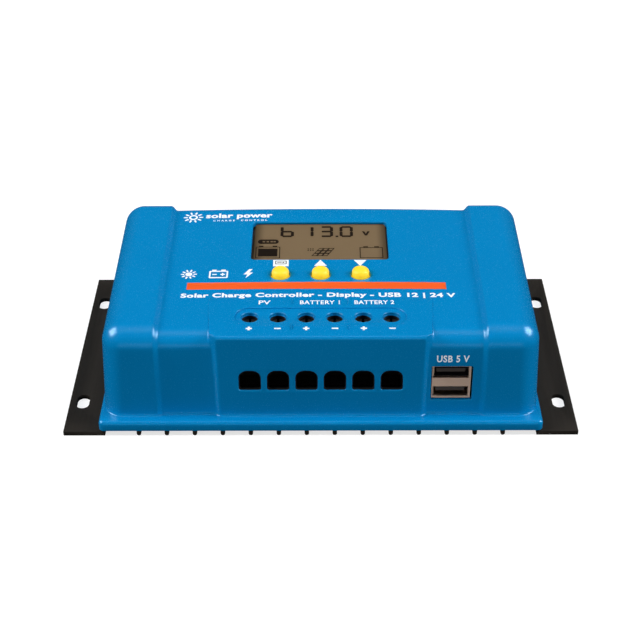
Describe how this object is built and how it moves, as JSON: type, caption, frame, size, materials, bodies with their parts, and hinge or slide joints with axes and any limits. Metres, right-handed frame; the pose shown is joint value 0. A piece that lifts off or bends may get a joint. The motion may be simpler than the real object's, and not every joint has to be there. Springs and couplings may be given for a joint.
{
  "type": "solar charge controller",
  "caption": "Wall-mounted solar charge controller: ribbed heat sink base with slotted ears, moulded cover, display window, push buttons, screw terminals and USB outlet.",
  "frame": {"origin": "centre of the footprint, on the plane that the mounting ears and ribs stand on", "axes": "+X to the right across the two ears, +Y from the terminals towards the back, +Z out of the wall through the display"},
  "size_m": [0.184, 0.101, 0.0428],
  "materials": {
    "black_anodised": "black anodised extrusion with fine drawing lines",
    "cover_plastic": "satin-gloss moulded blue ABS",
    "screw_steel": "zinc plated steel",
    "circuit_board": "green solder mask on glass epoxy",
    "brass": "turned brass",
    "black_plastic": "black moulded plastic",
    "display_glass": "reflective liquid crystal glass, grey-brown",
    "white_plastic": "white light guide",
    "contact_rubber": "layered elastomer strip",
    "button_yellow": "yellow moulded plastic",
    "switch_metal": "black switch housing",
    "terminal_steel": "nickel plated steel",
    "tinned_copper": "tinned copper",
    "usb_steel": "tinned steel sheet",
    "gold_contact": "gold plated contacts",
    "thermal_rubber": "grey silicone pad",
    "component_black": "black epoxy package",
    "bare_aluminium": "sawn aluminium bar",
    "capacitor_sleeve": "dark blue sleeve",
    "ferrite": "grey ferrite",
    "copper_wire": "enamelled copper"
  },
  "bodies": {
    "housing": {"heat_sink_base": "black_anodised", "top_cover": "cover_plastic", "cover_screws": "screw_steel", "main_board": "circuit_board", "board_standoffs": "brass", "board_screws": "screw_steel", "display_board": "circuit_board", "display_screws": "screw_steel", "display_frame": "black_plastic", "display_glass": "display_glass", "display_backlight": "white_plastic", "display_contact_strips": "contact_rubber", "switch_base_1": "switch_metal", "switch_base_2": "switch_metal", "switch_base_3": "switch_metal", "terminal_block": "black_plastic", "contact_bar_1": "tinned_copper", "contact_bar_2": "tinned_copper", "contact_bar_3": "tinned_copper", "contact_bar_4": "tinned_copper", "contact_bar_5": "tinned_copper", "contact_bar_6": "tinned_copper", "usb_shell": "usb_steel", "usb_insulator": "black_plastic", "usb_contacts": "gold_contact", "thermal_pad": "thermal_rubber", "power_transistor_1": "component_black", "power_transistor_2": "component_black", "power_transistor_3": "component_black", "power_transistor_4": "component_black", "clamp_bar": "bare_aluminium", "clamp_bar_screws": "screw_steel", "capacitor_1": "capacitor_sleeve", "capacitor_2": "capacitor_sleeve", "inductor_core": "ferrite", "inductor_winding": "copper_wire", "controller_chip": "component_black", "current_shunt": "copper_wire", "header_pins": "gold_contact", "header_socket": "black_plastic", "usb_regulator": "component_black"},
    "button_1": {"button_cap_1": "button_yellow", "switch_stem_1": "black_plastic"},
    "button_2": {"button_cap_2": "button_yellow", "switch_stem_2": "black_plastic"},
    "button_3": {"button_cap_3": "button_yellow", "switch_stem_3": "black_plastic"},
    "screw_1": {"terminal_screw_1": "terminal_steel"},
    "cage_1": {"clamp_cage_1": "terminal_steel"},
    "screw_2": {"terminal_screw_2": "terminal_steel"},
    "cage_2": {"clamp_cage_2": "terminal_steel"},
    "screw_3": {"terminal_screw_3": "terminal_steel"},
    "cage_3": {"clamp_cage_3": "terminal_steel"},
    "screw_4": {"terminal_screw_4": "terminal_steel"},
    "cage_4": {"clamp_cage_4": "terminal_steel"},
    "screw_5": {"terminal_screw_5": "terminal_steel"},
    "cage_5": {"clamp_cage_5": "terminal_steel"},
    "screw_6": {"terminal_screw_6": "terminal_steel"},
    "cage_6": {"clamp_cage_6": "terminal_steel"}
  },
  "joints": [
    {"name": "button_press_1", "type": "slide", "parent": "housing", "child": "button_1", "axis": [0, 0, -1], "range_m": [0, 0.00035], "stiffness_N_per_m": 2500, "springref_m": -0.0003},
    {"name": "button_press_2", "type": "slide", "parent": "housing", "child": "button_2", "axis": [0, 0, -1], "range_m": [0, 0.00035], "stiffness_N_per_m": 2500, "springref_m": -0.0003},
    {"name": "button_press_3", "type": "slide", "parent": "housing", "child": "button_3", "axis": [0, 0, -1], "range_m": [0, 0.00035], "stiffness_N_per_m": 2500, "springref_m": -0.0003},
    {"name": "terminal_turn_1", "type": "hinge", "parent": "housing", "child": "screw_1", "pos_m": [-0.025, -0.0332, 0.034], "axis": [0, 0, -1], "range_deg": [0, 3061]},
    {"name": "terminal_turn_2", "type": "hinge", "parent": "housing", "child": "screw_2", "pos_m": [-0.015, -0.0332, 0.034], "axis": [0, 0, -1], "range_deg": [0, 3061]},
    {"name": "terminal_turn_3", "type": "hinge", "parent": "housing", "child": "screw_3", "pos_m": [-0.005, -0.0332, 0.034], "axis": [0, 0, -1], "range_deg": [0, 3061]},
    {"name": "terminal_turn_4", "type": "hinge", "parent": "housing", "child": "screw_4", "pos_m": [0.005, -0.0332, 0.034], "axis": [0, 0, -1], "range_deg": [0, 3061]},
    {"name": "terminal_turn_5", "type": "hinge", "parent": "housing", "child": "screw_5", "pos_m": [0.015, -0.0332, 0.034], "axis": [0, 0, -1], "range_deg": [0, 3061]},
    {"name": "terminal_turn_6", "type": "hinge", "parent": "housing", "child": "screw_6", "pos_m": [0.025, -0.0332, 0.034], "axis": [0, 0, -1], "range_deg": [0, 3061]},
    {"name": "cage_lift_1", "type": "slide", "parent": "housing", "child": "cage_1", "axis": [0, 0, 1], "range_m": [0, 0.00595]},
    {"name": "cage_lift_2", "type": "slide", "parent": "housing", "child": "cage_2", "axis": [0, 0, 1], "range_m": [0, 0.00595]},
    {"name": "cage_lift_3", "type": "slide", "parent": "housing", "child": "cage_3", "axis": [0, 0, 1], "range_m": [0, 0.00595]},
    {"name": "cage_lift_4", "type": "slide", "parent": "housing", "child": "cage_4", "axis": [0, 0, 1], "range_m": [0, 0.00595]},
    {"name": "cage_lift_5", "type": "slide", "parent": "housing", "child": "cage_5", "axis": [0, 0, 1], "range_m": [0, 0.00595]},
    {"name": "cage_lift_6", "type": "slide", "parent": "housing", "child": "cage_6", "axis": [0, 0, 1], "range_m": [0, 0.00595]}
  ],
  "couplings": [
    {"joint": "terminal_turn_1", "follows": "cage_lift_1", "rad_per_m": 8976},
    {"joint": "terminal_turn_2", "follows": "cage_lift_2", "rad_per_m": 8976},
    {"joint": "terminal_turn_3", "follows": "cage_lift_3", "rad_per_m": 8976},
    {"joint": "terminal_turn_4", "follows": "cage_lift_4", "rad_per_m": 8976},
    {"joint": "terminal_turn_5", "follows": "cage_lift_5", "rad_per_m": 8976},
    {"joint": "terminal_turn_6", "follows": "cage_lift_6", "rad_per_m": 8976}
  ]
}
